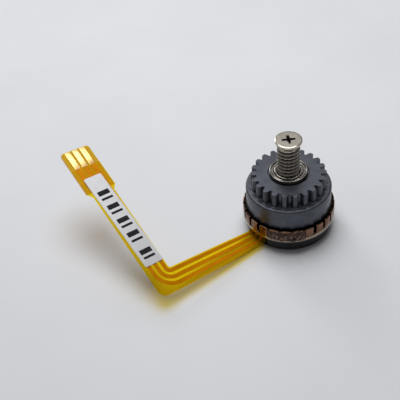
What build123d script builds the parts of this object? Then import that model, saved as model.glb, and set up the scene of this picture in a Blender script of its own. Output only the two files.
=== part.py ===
"""Ultrasonic gear motor: a comb-toothed piezo stator drives a rotor with its own output gear.

Axis of rotation: Z. The underside of the base plate is at z = 0. All lengths are in millimetres.
"""

import os
from math import acos, cos, degrees, pi, radians, sin, tan

from build123d import *

# ---------------------------------------------------------------- driving dimensions
# base plate and centre post
BASE_R = 4.83
BASE_RIM_TOP = 1.30
BASE_RIM_WALL = 0.38
BASE_FLOOR_TOP = 0.55
BOSS_R = 2.65
BASE_EDGE_R = 0.35
POST_R = 2.00
POST_NECK_R = 1.58
POST_STEP_Z = 3.00
POST_BORE_R = 1.36
POST_FLANGE_R = 2.50
POST_FLANGE_TOP = 0.30
FIT_GAP = 0.01

# flexible circuit, layer by layer, and the piezo ring on top of it
FLEX_Z = 1.00
FILM_T = 0.05
TRACE_T = 0.035
COVER_T = 0.07
PIEZO_T = 0.30
PIEZO_R_IN = 2.75
PIEZO_R_OUT = 4.40

# stator
STATOR_R = 5.20
STATOR_TEETH_R_IN = 3.70
STATOR_SEAT_Z = FLEX_Z + FILM_T + TRACE_T + PIEZO_T
STATOR_EDGE_Z = 1.58
STATOR_WEB_TOP = 1.70
SLOT_FLOOR_Z = 2.00
STATOR_TOP_Z = 3.22
SLOT_COUNT = 24
SLOT_WIDTH = 0.38
SLOT_PHASE = -10.5
NUT_R = 3.00
NUT_TOP = 2.45
NUT_SLOTS = 4
NUT_SLOT_WIDTH = 0.50
NUT_SLOT_DEPTH = 0.25
GLUE_START = -115.5
GLUE_SWEEP = 45.0
GLUE_T = 0.11

# rotor and output gear
ROTOR_R = 4.81
ROTOR_BOTTOM_Z = 3.30
ROTOR_SKIRT_R_IN = 3.75
FLANGE_UNDERSIDE_Z = 5.00
FLANGE_TOP_Z = 5.77
LINING_R_IN = 3.95
LINING_R_OUT = 4.55
LINING_BOTTOM_Z = 3.24
LINING_TOP_Z = 3.60
GEAR_MODULE = 0.35
GEAR_TEETH = 22
GEAR_TOP_Z = 7.48
GEAR_PHASE = -79.75
GEAR_SHIFT = 0.55
GEAR_TIP_R = 4.20
PRESSURE_ANGLE = 20.0
HUB_BORE_R = 1.72
POCKET_LEAD_R = 2.29
POCKET_LEAD_DEPTH = 0.25
DAMPING_R_IN = 3.05
DAMPING_T = 0.60

# bearing
RACE_R_OUT = 2.13
RACE_R_OUT_IN = 1.86
RACE_R_IN_OUT = 1.62
RACE_BORE_R = 1.33
RACE_TOP_Z = 7.87
RACE_H = 1.50
RACE_CHAMFER = 0.06
BALL_R = 0.27
BALL_COUNT = 10
GROOVE_CLEARANCE = 0.012
CAGE_T = 0.10
CAGE_H = 0.80
CAGE_POCKET_GAP = 0.02
SHIELD_T = 0.08
SHIELD_RECESS = 0.08
SHIELD_R_IN = 1.67
SHIELD_R_OUT = 1.93
POCKET_GAP = 0.02
PRELOAD_TRAVEL = 0.35

# preload spring
SPRING_WIRE = 0.20
SPRING_R = 1.94
SPRING_SEAT_Z = 5.20
SPRING_TURNS = 2.75

# mounting screw, M2.6
SCREW_R = 1.27
SCREW_TIP_Z = 0.05
HEAD_UNDERSIDE_Z = 11.33
HEAD_TOP_Z = 12.08
HEAD_RIM = 0.25
HEAD_R = 1.50
CROSS_WIDTH = 0.34
CROSS_SPAN = 1.36
CROSS_DEPTH = 0.55
CROSS_TURN = 9.0

# flexible tail
TAIL_AZIMUTH = 222.1
TAIL_WIDTH = 2.72
TAIL_ROOT_R = 4.45
TAIL_EXIT_R = 5.00
TAIL_EXIT_Z = 0.46
TAIL_TWIST_RUN = 11.0
TAIL_RISE = 7.2
TAIL_ROLL = 21.3
TAIL_STATIONS = 9
NOTCH_FLOOR_Z = 0.28
NOTCH_MARGIN = 0.15
CORNER_RUN = 1.65
CORNER_R_OUT = 0.90
CORNER_R_IN = 0.25
ARM_LENGTH = 19.35
END_WIDTH = 3.68
SHOULDER_START = 12.7
SHOULDER_END = 13.3
END_CORNER_R = 0.40
TRACE_WIDTH = 0.46
TRACE_PITCH = 0.78
TRACE_OFFSET = 0.20
TRACE_CORNER_R = 0.30
CONTACT_WIDTH = 0.66
CONTACT_PITCH = 0.95
CONTACT_START = 16.75
CONTACT_T = 0.045
STIFFENER_START = 13.4
STIFFENER_T = 0.20
LABEL_START = 2.5
LABEL_END = 15.2
LABEL_WIDTH = 2.30
LABEL_SHIFT = 0.04
LABEL_SKEW = 1.2
LABEL_CORNER_R = 0.20
LABEL_T = 0.06

os.makedirs("parts", exist_ok=True)
finished = []


def save(builder, name):
    """Label a finished piece and write it to its own STEP file."""
    builder.part.label = name
    export_step(builder.part, f"parts/{name}.step")
    finished.append(name)


def annulus(inner, outer, z):
    """Flat ring profile about the motor axis at height z."""
    with BuildSketch(Plane.XY.offset(z)) as profile:
        Circle(outer)
        Circle(inner, mode=Mode.SUBTRACT)
    return profile.sketch


# ---------------------------------------------------------------- base plate and post
# A shallow cup: the rim surrounds the piezo ring, the boss carries the stator hub.
with BuildPart() as base_plate:
    with BuildSketch():
        Circle(BASE_R)
    extrude(amount=BASE_RIM_TOP)
    fillet(base_plate.faces().sort_by(Axis.Z)[0].edges(), BASE_EDGE_R)
    with BuildSketch(Plane.XY.offset(BASE_FLOOR_TOP)):
        Circle(BASE_R - BASE_RIM_WALL)
        Circle(BOSS_R, mode=Mode.SUBTRACT)
    extrude(amount=BASE_RIM_TOP, mode=Mode.SUBTRACT)
    with BuildSketch(Plane.XY.offset(BASE_FLOOR_TOP)):
        Circle(BOSS_R)
    extrude(amount=STATOR_SEAT_Z - BASE_FLOOR_TOP)
    with Locations((0, 0, 0)):
        Cylinder(POST_R + FIT_GAP, 4 * BASE_RIM_TOP, mode=Mode.SUBTRACT)
        Cylinder(POST_FLANGE_R + FIT_GAP, 2 * (POST_FLANGE_TOP + FIT_GAP), mode=Mode.SUBTRACT)
    # notch in the rim where the flexible tail drops out
    with BuildSketch(Plane.XY.offset(NOTCH_FLOOR_Z)):
        with Locations(Rotation(0, 0, TAIL_AZIMUTH)):
            with Locations((BASE_R, 0)):
                Rectangle(2 * BASE_RIM_WALL + NOTCH_MARGIN, TAIL_WIDTH + 2 * NOTCH_MARGIN)
    extrude(amount=BASE_RIM_TOP, mode=Mode.SUBTRACT)
save(base_plate, "base_plate")

with BuildPart() as center_post:
    with BuildSketch(Plane.XZ):
        with BuildLine():
            Polyline(
                (POST_BORE_R, 0.02),
                (POST_FLANGE_R, 0.02),
                (POST_FLANGE_R, POST_FLANGE_TOP),
                (POST_R, POST_FLANGE_TOP),
                (POST_R, POST_STEP_Z),
                (POST_NECK_R, POST_STEP_Z + 0.3),
                (POST_NECK_R, RACE_TOP_Z - RACE_H - PRELOAD_TRAVEL),
                (POST_BORE_R, RACE_TOP_Z - RACE_H - PRELOAD_TRAVEL),
                close=True,
            )
        make_face()
    revolve(axis=Axis.Z)
save(center_post, "center_post")

FELT_R_OUT = BASE_R - BASE_RIM_WALL - 0.05
with BuildPart() as felt_damper:
    extrude(annulus(BOSS_R + 0.05, FELT_R_OUT, BASE_FLOOR_TOP), amount=FLEX_Z - BASE_FLOOR_TOP)
save(felt_damper, "felt_damper")

with BuildPart() as piezo_ring:
    extrude(annulus(PIEZO_R_IN, PIEZO_R_OUT, STATOR_SEAT_Z - PIEZO_T), amount=PIEZO_T)
save(piezo_ring, "piezo_ring")

# ---------------------------------------------------------------- stator
# Thick outer ring with comb teeth, a thin web and a hub clamped on the boss.
with BuildPart() as stator_ring:
    with BuildSketch(Plane.XZ):
        with BuildLine():
            Polyline(
                (POST_R + FIT_GAP, STATOR_SEAT_Z),
                (STATOR_R - 0.20, STATOR_SEAT_Z),
                (STATOR_R, STATOR_EDGE_Z),
                (STATOR_R, STATOR_TOP_Z - 0.08),
                (STATOR_R - 0.08, STATOR_TOP_Z),
                (STATOR_TEETH_R_IN, STATOR_TOP_Z),
                (STATOR_TEETH_R_IN, STATOR_WEB_TOP),
                (POST_R + FIT_GAP, STATOR_WEB_TOP),
                close=True,
            )
        make_face()
    revolve(axis=Axis.Z)
    with BuildSketch(Plane.XY.offset(SLOT_FLOOR_Z)):
        with PolarLocations(0, SLOT_COUNT, start_angle=SLOT_PHASE):
            with Locations((STATOR_R, 0)):
                Rectangle(2 * (STATOR_R - STATOR_TEETH_R_IN) + 0.4, SLOT_WIDTH)
    extrude(amount=STATOR_TOP_Z, mode=Mode.SUBTRACT)
save(stator_ring, "stator_ring")

# Round slotted nut that clamps the stator hub.
with BuildPart() as stator_nut:
    extrude(annulus(POST_R + FIT_GAP, NUT_R, STATOR_WEB_TOP), amount=NUT_TOP - STATOR_WEB_TOP)
    with BuildSketch(Plane.XY.offset(NUT_TOP - NUT_SLOT_DEPTH)):
        with PolarLocations(0, NUT_SLOTS):
            with Locations((NUT_R, 0)):
                Rectangle(0.7, NUT_SLOT_WIDTH)
    extrude(amount=NUT_TOP, mode=Mode.SUBTRACT)
save(stator_nut, "stator_nut")

# Bead of cured adhesive over the front of the comb.
with BuildPart() as stator_adhesive:
    with BuildSketch(Plane.XZ.rotated((0, 0, GLUE_START))):
        with BuildLine():
            Polyline(
                (STATOR_R + 0.005, STATOR_EDGE_Z + 0.12),
                (STATOR_R + GLUE_T, STATOR_EDGE_Z + 0.32),
                (STATOR_R + GLUE_T, STATOR_TOP_Z - 0.22),
                (STATOR_R + 0.005, STATOR_TOP_Z - 0.10),
                close=True,
            )
        make_face()
    revolve(axis=Axis.Z, revolution_arc=GLUE_SWEEP)
save(stator_adhesive, "stator_adhesive")


# ---------------------------------------------------------------- rotor
def involute(base_radius, radius):
    """Point of the involute of a base circle, at a given radius."""
    pressure = acos(min(1.0, base_radius / radius))
    turn = tan(pressure) - pressure
    return Vector(radius * cos(turn), radius * sin(turn))


def gear_profile(z):
    """Spur gear outline at height z: involute flanks, positive profile shift, shortened tips."""
    pitch_r = GEAR_MODULE * GEAR_TEETH / 2
    slope = tan(radians(PRESSURE_ANGLE))
    base_r = pitch_r * cos(radians(PRESSURE_ANGLE))
    root_r = pitch_r - GEAR_MODULE * (1.25 - GEAR_SHIFT)
    half_tooth = (pi / 2 + 2 * GEAR_SHIFT * slope) / GEAR_TEETH + slope - radians(PRESSURE_ANGLE)
    steps = 5
    radii = [base_r + (GEAR_TIP_R - base_r) * step / steps for step in range(steps + 1)]
    flank = [involute(base_r, r).rotate(Axis.Z, -degrees(half_tooth)) for r in radii]
    mirrored = [Vector(point.X, -point.Y) for point in flank]
    foot_x = root_r - 0.2
    with BuildSketch(Plane.XY.offset(z)) as profile:
        Circle(root_r)
        with BuildSketch(mode=Mode.PRIVATE) as tooth:
            with BuildLine():
                Spline(*flank)
                ThreePointArc(flank[-1], (GEAR_TIP_R, 0), mirrored[-1])
                Spline(*reversed(mirrored))
                Polyline(mirrored[0], (foot_x, mirrored[0].Y), (foot_x, flank[0].Y), flank[0])
            make_face()
        with PolarLocations(0, GEAR_TEETH, start_angle=GEAR_PHASE):
            add(tooth.sketch)
    return profile.sketch


# Gear, flange and skirt in one piece, with the bearing pocket through its hub.
with BuildPart() as rotor_gear:
    with BuildSketch(Plane.XZ):
        with BuildLine():
            Polyline(
                (ROTOR_SKIRT_R_IN, ROTOR_BOTTOM_Z),
                (LINING_R_IN, ROTOR_BOTTOM_Z),
                (LINING_R_IN, LINING_TOP_Z),
                (LINING_R_OUT, LINING_TOP_Z),
                (LINING_R_OUT, ROTOR_BOTTOM_Z),
                (ROTOR_R - 0.05, ROTOR_BOTTOM_Z),
                (ROTOR_R, ROTOR_BOTTOM_Z + 0.05),
                (ROTOR_R, FLANGE_TOP_Z - 0.12),
                (ROTOR_R - 0.12, FLANGE_TOP_Z),
                (HUB_BORE_R, FLANGE_TOP_Z),
                (HUB_BORE_R, FLANGE_UNDERSIDE_Z),
                (ROTOR_SKIRT_R_IN, FLANGE_UNDERSIDE_Z),
                close=True,
            )
        make_face()
    revolve(axis=Axis.Z)
    extrude(gear_profile(FLANGE_TOP_Z), amount=GEAR_TOP_Z - FLANGE_TOP_Z)
    with BuildSketch(Plane.XY.offset(SPRING_SEAT_Z)):
        Circle(RACE_R_OUT + POCKET_GAP)
    extrude(amount=GEAR_TOP_Z, mode=Mode.SUBTRACT)
    with BuildSketch(Plane.XY.offset(GEAR_TOP_Z - POCKET_LEAD_DEPTH)):
        Circle(POCKET_LEAD_R)
    extrude(amount=GEAR_TOP_Z, mode=Mode.SUBTRACT)
save(rotor_gear, "rotor_gear")

# Friction lining pressed into the groove of the skirt: it rides on the comb teeth.
LINING_H = LINING_TOP_Z - LINING_BOTTOM_Z
with BuildPart() as rotor_lining:
    extrude(annulus(LINING_R_IN + FIT_GAP, LINING_R_OUT - FIT_GAP, LINING_BOTTOM_Z), amount=LINING_H)
save(rotor_lining, "rotor_lining")

# Rubber ring bonded inside the skirt: it stops the rotor from ringing.
with BuildPart() as damping_ring:
    damping_r_out = ROTOR_SKIRT_R_IN - FIT_GAP
    extrude(annulus(DAMPING_R_IN, damping_r_out, FLANGE_UNDERSIDE_Z - DAMPING_T), amount=DAMPING_T)
save(damping_ring, "damping_ring")

# Coil spring between the pocket floor and the outer race: it presses the rotor onto the stator.
spring_height = RACE_TOP_Z - RACE_H - SPRING_SEAT_Z - SPRING_WIRE - 0.04
with BuildPart() as preload_spring:
    with BuildLine(Plane.XY.offset(SPRING_SEAT_Z + SPRING_WIRE / 2 + 0.02)) as coil:
        Helix(spring_height / SPRING_TURNS, spring_height, SPRING_R)
    with BuildSketch(Plane(coil.line @ 0, z_dir=coil.line % 0)):
        Circle(SPRING_WIRE / 2)
    sweep(path=coil.line, is_frenet=True)
save(preload_spring, "preload_spring")

# ---------------------------------------------------------------- bearing
RACE_BOTTOM_Z = RACE_TOP_Z - RACE_H
RACE_MID_Z = RACE_TOP_Z - RACE_H / 2
BALL_PITCH_R = (RACE_R_OUT_IN + RACE_R_IN_OUT) / 2


def race(inner, outer):
    """Build one bearing race with its ball groove and broken edges."""
    with BuildPart(mode=Mode.PRIVATE) as blank:
        extrude(annulus(inner, outer, RACE_BOTTOM_Z), amount=RACE_H)
        chamfer(blank.edges().filter_by(GeomType.CIRCLE), RACE_CHAMFER)
        with BuildSketch(Plane.XZ):
            with Locations((BALL_PITCH_R, RACE_MID_Z)):
                Circle(BALL_R + GROOVE_CLEARANCE)
        revolve(axis=Axis.Z, mode=Mode.SUBTRACT)
    return blank


bearing_outer_race = race(RACE_R_OUT_IN, RACE_R_OUT)
with bearing_outer_race:
    for rebate_z in (RACE_BOTTOM_Z, RACE_TOP_Z - SHIELD_RECESS - SHIELD_T):
        extrude(annulus(RACE_BORE_R, SHIELD_R_OUT, rebate_z), amount=SHIELD_RECESS + SHIELD_T,
                mode=Mode.SUBTRACT)
save(bearing_outer_race, "bearing_outer_race")

bearing_inner_race = race(RACE_BORE_R, RACE_R_IN_OUT)
save(bearing_inner_race, "bearing_inner_race")

for shield_name, shield_z in (
    ("bearing_shield_top", RACE_TOP_Z - SHIELD_RECESS - SHIELD_T),
    ("bearing_shield_bottom", RACE_BOTTOM_Z + SHIELD_RECESS),
):
    with BuildPart() as bearing_shield:
        extrude(annulus(SHIELD_R_IN, SHIELD_R_OUT, shield_z), amount=SHIELD_T)
    save(bearing_shield, shield_name)

with BuildPart() as bearing_balls:
    with Locations(Plane.XY.offset(RACE_MID_Z)):
        with PolarLocations(BALL_PITCH_R, BALL_COUNT):
            Sphere(BALL_R)
save(bearing_balls, "bearing_balls")

with BuildPart() as ball_cage:
    cage_blank = annulus(BALL_PITCH_R - CAGE_T / 2, BALL_PITCH_R + CAGE_T / 2, RACE_MID_Z - CAGE_H / 2)
    extrude(cage_blank, amount=CAGE_H)
    with Locations(Plane.XY.offset(RACE_MID_Z)):
        with PolarLocations(BALL_PITCH_R, BALL_COUNT):
            Cylinder(BALL_R + CAGE_POCKET_GAP, 1.0, rotation=(0, 90, 0), mode=Mode.SUBTRACT)
save(ball_cage, "ball_cage")

# ---------------------------------------------------------------- mounting screw
# Countersunk cross-recess screw, standing loose in the bore before the motor is mounted.
with BuildPart() as mount_screw:
    with BuildSketch(Plane.XZ):
        with BuildLine():
            Polyline(
                (0, SCREW_TIP_Z),
                (SCREW_R - 0.2, SCREW_TIP_Z),
                (SCREW_R, SCREW_TIP_Z + 0.2),
                (SCREW_R, HEAD_UNDERSIDE_Z),
                (HEAD_R, HEAD_TOP_Z - HEAD_RIM),
                (HEAD_R, HEAD_TOP_Z - 0.05),
                (HEAD_R - 0.05, HEAD_TOP_Z),
                (0, HEAD_TOP_Z),
                close=True,
            )
        make_face()
    revolve(axis=Axis.Z)
    with BuildSketch(Plane.XY.offset(HEAD_TOP_Z).rotated((0, 0, CROSS_TURN))):
        Rectangle(CROSS_SPAN, CROSS_WIDTH)
        Rectangle(CROSS_WIDTH, CROSS_SPAN)
    extrude(amount=-CROSS_DEPTH, taper=12, mode=Mode.SUBTRACT)
save(mount_screw, "mount_screw")


# ---------------------------------------------------------------- flexible tail
# The tail drops out of the rim notch, rises and rolls along its first arm, then turns a square corner.
outward = Vector(cos(radians(TAIL_AZIMUTH)), sin(radians(TAIL_AZIMUTH)), 0)
across = outward.cross(Vector(0, 0, 1))
forward = outward * cos(radians(TAIL_RISE)) + Vector(0, 0, sin(radians(TAIL_RISE)))
face_up = Vector(0, 0, cos(radians(TAIL_RISE))) - outward * sin(radians(TAIL_RISE))
exit_point = outward * TAIL_EXIT_R + Vector(0, 0, TAIL_EXIT_Z)


def twist_plane(fraction):
    """Plane across the first arm: local x points across the tail, local y out of its upper face."""
    roll = radians(TAIL_ROLL) * fraction
    origin = exit_point + forward * (TAIL_TWIST_RUN * fraction)
    return Plane(origin, x_dir=across * cos(roll) + face_up * sin(roll), z_dir=-forward)


root_plane = Plane(outward * TAIL_ROOT_R + Vector(0, 0, FLEX_Z), x_dir=across, z_dir=-outward)
twist_planes = [twist_plane(station / (TAIL_STATIONS - 1)) for station in range(TAIL_STATIONS)]
tail_planes = [root_plane] + twist_planes
corner_plane = Plane(
    twist_planes[-1].origin + forward * CORNER_RUN,
    x_dir=twist_planes[-1].x_dir,
    z_dir=twist_planes[-1].y_dir,
)
ring_plane = Plane((0, 0, FLEX_Z), x_dir=outward, z_dir=(0, 0, 1))


def strip(left, right, bottom, top):
    """Loft one rectangular strand along the twisting arm, between two positions across it."""
    with BuildPart() as strand:
        for plane in tail_planes:
            with BuildSketch(plane):
                with Locations(((left + right) / 2, (bottom + top) / 2)):
                    Rectangle(right - left, top - bottom)
        loft(ruled=True)
    return strand.part


def box_outline(plane, low, high):
    """Rectangle on a plane, given by two opposite corners."""
    with BuildSketch(plane) as outline:
        with Locations(((low[0] + high[0]) / 2, (low[1] + high[1]) / 2)):
            Rectangle(high[0] - low[0], high[1] - low[1])
    return outline.sketch


def arm_outline():
    """Corner and second arm with its wide end, seen on the flat part."""
    half = TAIL_WIDTH / 2
    wide = END_WIDTH / 2
    with BuildSketch() as outline:
        with BuildLine():
            Polyline(
                (-half, -CORNER_RUN),
                (half, -CORNER_RUN),
                (half, -half),
                (SHOULDER_START, -half),
                (SHOULDER_END, -wide),
                (ARM_LENGTH, -wide),
                (ARM_LENGTH, wide),
                (SHOULDER_END, wide),
                (SHOULDER_START, half),
                (-half, half),
                close=True,
            )
        make_face()
        for x, y, size in (
            (-half, half, CORNER_R_OUT),
            (half, -half, CORNER_R_IN),
            (ARM_LENGTH, -wide, END_CORNER_R),
            (ARM_LENGTH, wide, END_CORNER_R),
        ):
            corner = outline.vertices().filter_by(lambda v: abs(v.X - x) < 0.01 and abs(v.Y - y) < 0.01)
            fillet(corner, size)
    return outline.sketch


# Polyimide base film: ring under the piezo, first arm, corner, second arm and wide contact end.
TAB_LOW = (PIEZO_R_OUT - 0.5, -TAIL_WIDTH / 2)
with BuildPart() as flex_film:
    extrude(annulus(PIEZO_R_IN, PIEZO_R_OUT, FLEX_Z), amount=FILM_T)
    extrude(box_outline(ring_plane, TAB_LOW, (TAIL_ROOT_R, TAIL_WIDTH / 2)), amount=FILM_T)
    add(strip(-TAIL_WIDTH / 2, TAIL_WIDTH / 2, 0, FILM_T))
    with BuildSketch(corner_plane):
        add(arm_outline())
    extrude(amount=FILM_T)
save(flex_film, "flex_film")

LANES = [TRACE_OFFSET + TRACE_PITCH * place for place in (-1, 0, 1)]
FAN_END = SHOULDER_END + 0.9
CORNER_ARC_CENTRE = LANES[-1] + TRACE_WIDTH / 2 + TRACE_CORNER_R


def trace_outline(plane, place):
    """One conductor on the flat part: round the corner, along the arm and out to its contact."""
    lane = LANES[place + 1]
    half = TRACE_WIDTH / 2
    wide = CONTACT_WIDTH / 2
    radius = CORNER_ARC_CENTRE - lane
    contact_y = -place * CONTACT_PITCH
    with BuildSketch(plane) as outline:
        with Locations((CORNER_ARC_CENTRE, -CORNER_ARC_CENTRE)):
            Circle(radius + half)
            Circle(radius - half, mode=Mode.SUBTRACT)
        with Locations((CORNER_ARC_CENTRE - radius, radius - CORNER_ARC_CENTRE)):
            Rectangle(2 * radius, 2 * radius, mode=Mode.INTERSECT)
        with Locations((lane, -(CORNER_RUN + CORNER_ARC_CENTRE) / 2)):
            Rectangle(TRACE_WIDTH, CORNER_RUN - CORNER_ARC_CENTRE)
        with Locations(((CORNER_ARC_CENTRE + SHOULDER_START) / 2, -lane)):
            Rectangle(SHOULDER_START - CORNER_ARC_CENTRE, TRACE_WIDTH)
        with BuildLine():
            Polyline(
                (SHOULDER_START, -lane - half),
                (FAN_END, contact_y - wide),
                (CONTACT_START, contact_y - wide),
                (CONTACT_START, contact_y + wide),
                (FAN_END, contact_y + wide),
                (SHOULDER_START, -lane + half),
                close=True,
            )
        make_face()
    return outline.sketch


# Copper conductors, from the electrodes of the piezo ring to the contact end.
with BuildPart() as flex_traces:
    for place, lane in zip((-1, 0, 1), LANES):
        inner_end = (PIEZO_R_IN + 0.6, -lane - TRACE_WIDTH / 2)
        outer_end = (TAIL_ROOT_R, -lane + TRACE_WIDTH / 2)
        extrude(box_outline(ring_plane.offset(FILM_T), inner_end, outer_end), amount=TRACE_T)
        add(strip(lane - TRACE_WIDTH / 2, lane + TRACE_WIDTH / 2, FILM_T, FILM_T + TRACE_T))
        extrude(trace_outline(corner_plane.offset(FILM_T), place), amount=TRACE_T)
save(flex_traces, "flex_traces")

# Gold-plated contact fingers at the end of the conductors.
with BuildPart() as flex_contacts:
    for place in (-1, 0, 1):
        low = (CONTACT_START, place * CONTACT_PITCH - CONTACT_WIDTH / 2)
        high = (ARM_LENGTH - 0.1, place * CONTACT_PITCH + CONTACT_WIDTH / 2)
        extrude(box_outline(corner_plane.offset(FILM_T), low, high), amount=CONTACT_T)
save(flex_contacts, "flex_contacts")

# Coverlay bonded over the conductors, open at the contact end.
with BuildPart() as flex_coverlay:
    add(strip(-TAIL_WIDTH / 2, TAIL_WIDTH / 2, FILM_T, FILM_T + COVER_T))
    with BuildSketch(corner_plane.offset(FILM_T)):
        add(arm_outline())
    extrude(amount=COVER_T)
    open_low = (CONTACT_START, -END_WIDTH)
    open_high = (2 * ARM_LENGTH, END_WIDTH)
    extrude(box_outline(corner_plane, open_low, open_high), amount=1, mode=Mode.SUBTRACT)
    add(flex_traces.part, mode=Mode.SUBTRACT)
save(flex_coverlay, "flex_coverlay")

# Stiffener behind the wide end.
with BuildPart() as flex_stiffener:
    with BuildSketch(corner_plane.offset(-STIFFENER_T)):
        add(arm_outline())
    extrude(amount=STIFFENER_T)
    arm_low = (-END_WIDTH, -END_WIDTH)
    arm_high = (STIFFENER_START, END_WIDTH)
    extrude(box_outline(corner_plane.offset(-1), arm_low, arm_high), amount=2, mode=Mode.SUBTRACT)
save(flex_stiffener, "flex_stiffener")

# Paper marking label, stuck a little askew on the second arm.
LABEL_LENGTH = LABEL_END - LABEL_START
with BuildPart() as flex_label:
    with BuildSketch(corner_plane.offset(FILM_T + COVER_T)):
        with Locations(((LABEL_START + LABEL_END) / 2, -LABEL_SHIFT)):
            RectangleRounded(LABEL_LENGTH, LABEL_WIDTH, LABEL_CORNER_R, rotation=LABEL_SKEW)
    extrude(amount=LABEL_T)
save(flex_label, "flex_label")

print(len(finished), "pieces:", ", ".join(finished))
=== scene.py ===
"""Looks of the ultrasonic gear motor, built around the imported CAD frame. Blender units are metres."""
from math import acos, asin, atan2, cos, pi, radians, sin, tan

import bmesh
import bpy
from mathutils import Matrix, Vector, noise
from mathutils.geometry import tessellate_polygon


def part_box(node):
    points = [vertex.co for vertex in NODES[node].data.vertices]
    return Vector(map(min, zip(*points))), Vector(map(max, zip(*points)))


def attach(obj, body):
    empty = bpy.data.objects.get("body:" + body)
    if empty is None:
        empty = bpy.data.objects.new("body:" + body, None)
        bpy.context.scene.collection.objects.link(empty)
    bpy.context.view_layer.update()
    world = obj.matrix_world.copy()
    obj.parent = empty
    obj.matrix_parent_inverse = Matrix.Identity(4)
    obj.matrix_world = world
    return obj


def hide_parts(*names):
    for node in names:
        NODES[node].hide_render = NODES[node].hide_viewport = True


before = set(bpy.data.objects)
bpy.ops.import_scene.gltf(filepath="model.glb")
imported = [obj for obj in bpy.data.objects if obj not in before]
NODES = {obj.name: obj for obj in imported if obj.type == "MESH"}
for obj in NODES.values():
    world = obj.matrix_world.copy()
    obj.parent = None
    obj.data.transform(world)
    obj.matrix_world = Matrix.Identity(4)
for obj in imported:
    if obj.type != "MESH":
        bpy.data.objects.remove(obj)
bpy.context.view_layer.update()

MM = 0.001


# ---------------------------------------------------------------- camera
CAMERA_PLACE = Vector((0.0, -72.24, 68.86)) * MM
CAMERA_AIM = Vector((-10.36, 1.43, 2.0)) * MM
CAMERA_ROLL = radians(-5.37)
CAMERA_LENS = 76.5

camera = bpy.data.objects.new("camera", bpy.data.cameras.new("camera"))
bpy.context.scene.collection.objects.link(camera)
camera.data.lens = CAMERA_LENS
camera.data.sensor_width = 36.0
camera.data.clip_start = 0.002
camera.data.clip_end = 10.0
camera.location = CAMERA_PLACE
camera.rotation_mode = "QUATERNION"
aim = (CAMERA_AIM - CAMERA_PLACE).to_track_quat("-Z", "Y")
camera.rotation_quaternion = aim @ Matrix.Rotation(CAMERA_ROLL, 4, "Z").to_quaternion()
bpy.context.scene.camera = camera


# ---------------------------------------------------------------- sizes from the frame, in mm
def span(node):
    """Lowest and highest corner of a CAD node, in millimetres."""
    low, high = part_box(node)
    return low / MM, high / MM


def radius(node):
    """Outside radius of a round CAD node, in millimetres."""
    return span(node)[1].y


# ---------------------------------------------------------------- mesh helpers
def finish_mesh(name, bm, body, material, sharp=35.0):
    """Turn a bmesh in millimetres into a smooth-shaded piece that rides on a body."""
    bmesh.ops.remove_doubles(bm, verts=bm.verts, dist=1e-5)
    bmesh.ops.recalc_face_normals(bm, faces=bm.faces)
    bmesh.ops.scale(bm, vec=(MM, MM, MM), verts=bm.verts)
    mesh = bpy.data.meshes.new(name)
    bm.to_mesh(mesh)
    bm.free()
    mesh.shade_smooth()
    mesh.set_sharp_from_angle(angle=radians(sharp))
    obj = bpy.data.objects.new(name, mesh)
    bpy.context.scene.collection.objects.link(obj)
    mesh.materials.append(material)
    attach(obj, body)
    return obj


def apply_modifiers(obj):
    """Bake an object's modifiers into its mesh."""
    graph = bpy.context.evaluated_depsgraph_get()
    mesh = bpy.data.meshes.new_from_object(obj.evaluated_get(graph))
    obj.modifiers.clear()
    old = obj.data
    obj.data = mesh
    bpy.data.meshes.remove(old)


def bevel(obj, width, segments=2, angle=35.0):
    """Round every edge sharper than an angle. Width is in millimetres."""
    modifier = obj.modifiers.new("bevel", "BEVEL")
    modifier.width = width * MM
    modifier.segments = segments
    modifier.limit_method = "ANGLE"
    modifier.angle_limit = radians(angle)
    apply_modifiers(obj)
    obj.data.shade_smooth()
    obj.data.set_sharp_from_angle(angle=radians(50))
    return obj


def cut(obj, cutter):
    """Subtract one closed mesh from another and delete the cutter."""
    modifier = obj.modifiers.new("cut", "BOOLEAN")
    modifier.operation = "DIFFERENCE"
    modifier.object = cutter
    modifier.solver = "EXACT"
    apply_modifiers(obj)
    bpy.data.objects.remove(cutter)
    obj.data.shade_smooth()
    obj.data.set_sharp_from_angle(angle=radians(35))
    return obj


def rounded(profile, size, steps=3):
    """Round each corner of a closed (r, z) profile by a small arc."""
    points = []
    count = len(profile)
    for i, corner in enumerate(profile):
        here = Vector(corner)
        before = Vector(profile[i - 1]) - here
        after = Vector(profile[(i + 1) % count]) - here
        reach = min(size, before.length * 0.4, after.length * 0.4)
        start = here + before.normalized() * reach
        end = here + after.normalized() * reach
        for step in range(steps + 1):
            t = step / steps
            points.append(start * (1 - t) ** 2 + here * 2 * t * (1 - t) + end * t ** 2)
    return [(p.x, p.y) for p in points]


def lathe(profile, segments=192):
    """Closed ring of revolution about the motor axis, from a closed (r, z) profile."""
    bm = bmesh.new()
    rings = []
    for k in range(segments):
        turn = 2 * pi * k / segments
        rings.append([bm.verts.new((r * cos(turn), r * sin(turn), z)) for r, z in profile])
    for k in range(segments):
        this, following = rings[k], rings[(k + 1) % segments]
        for i in range(len(profile)):
            j = (i + 1) % len(profile)
            quad = []
            for vert in (this[i], following[i], following[j], this[j]):
                if vert not in quad:
                    quad.append(vert)
            bm.faces.new(quad)
    return bm


def stack(loops, closed=True):
    """Skin loops that all have the same number of points; closed joins the last to the first."""
    bm = bmesh.new()
    rows = [[bm.verts.new(point) for point in loop] for loop in loops]
    count = len(rows[0])
    pairs = list(zip(rows, rows[1:]))
    if closed:
        pairs.append((rows[-1], rows[0]))
    for low, high in pairs:
        for i in range(count):
            j = (i + 1) % count
            bm.faces.new((low[i], low[j], high[j], high[i]))
    if not closed:
        bm.faces.new(list(reversed(rows[0])))
        bm.faces.new(rows[-1])
    return bm


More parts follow.
